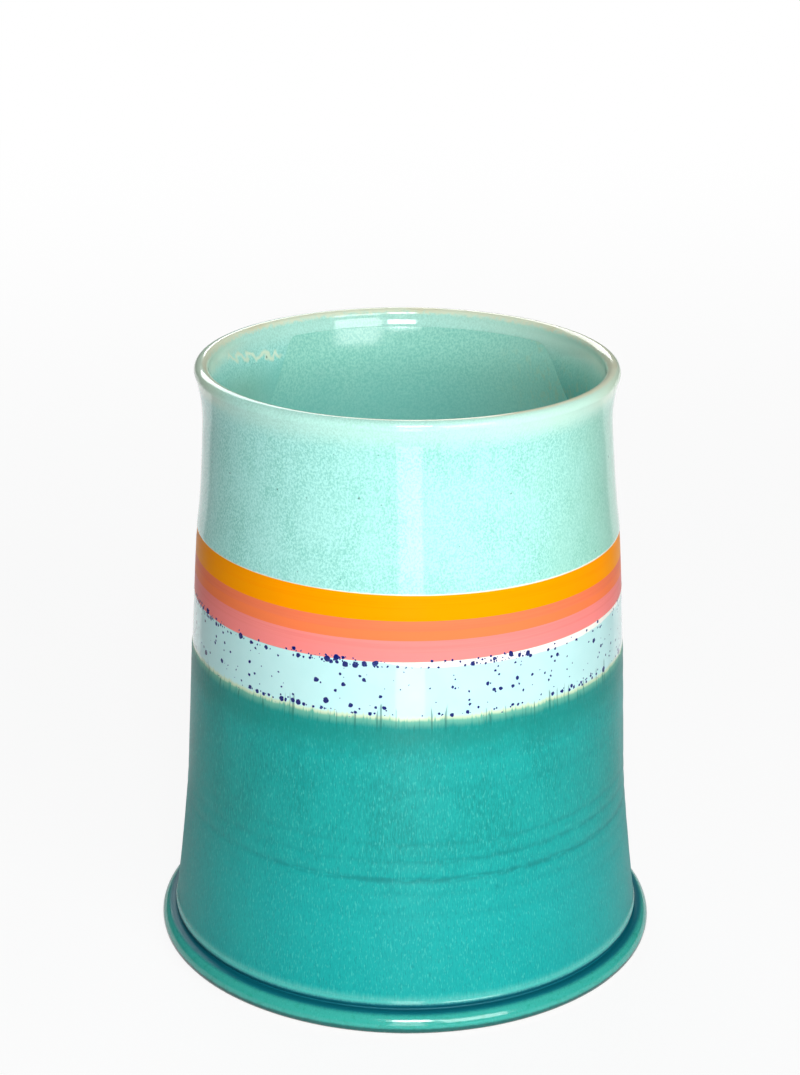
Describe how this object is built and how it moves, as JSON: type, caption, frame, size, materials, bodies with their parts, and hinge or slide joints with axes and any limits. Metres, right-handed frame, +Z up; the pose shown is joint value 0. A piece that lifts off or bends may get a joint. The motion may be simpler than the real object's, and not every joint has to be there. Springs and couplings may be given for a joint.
{
  "type": "utensil crock",
  "caption": "Tall round open-topped stoneware crock, flared at the foot with a rolled bead, glazed in turquoise and teal with a warm banded waist.",
  "frame": {"origin": "on the worktop, on the axis of the pot, at the centre of its resting ring", "axes": "+Z up along the pot's axis towards the open rim; +X to the right and +Y to the back in the pictured view"},
  "size_m": [0.178, 0.178, 0.2111],
  "materials": {
    "bare_stoneware": "bare fired clay, fine and dry, pale cream",
    "liner_glaze": "glossy turquoise glaze, deeper where it is thick",
    "turquoise_glaze": "glossy turquoise glaze, finely mottled, breaking to cream on the lip",
    "orange_slip": "smooth brushed slip under a clear satin glaze",
    "coral_slip": "smooth brushed slip under a clear satin glaze",
    "pink_slip": "smooth brushed slip under a clear satin glaze",
    "pale_blue_glaze": "glossy pale blue glaze, speckled with cobalt",
    "teal_glaze": "satin teal glaze with a fine fibrous mottle, darker in the groove"
  },
  "bodies": {
    "root": {"stoneware_body": "bare_stoneware", "liner_glaze": "liner_glaze", "turquoise_glaze": "turquoise_glaze", "orange_band": "orange_slip", "coral_band": "coral_slip", "pink_band": "pink_slip", "pale_blue_glaze": "pale_blue_glaze", "teal_glaze": "teal_glaze"}
  },
  "joints": []
}
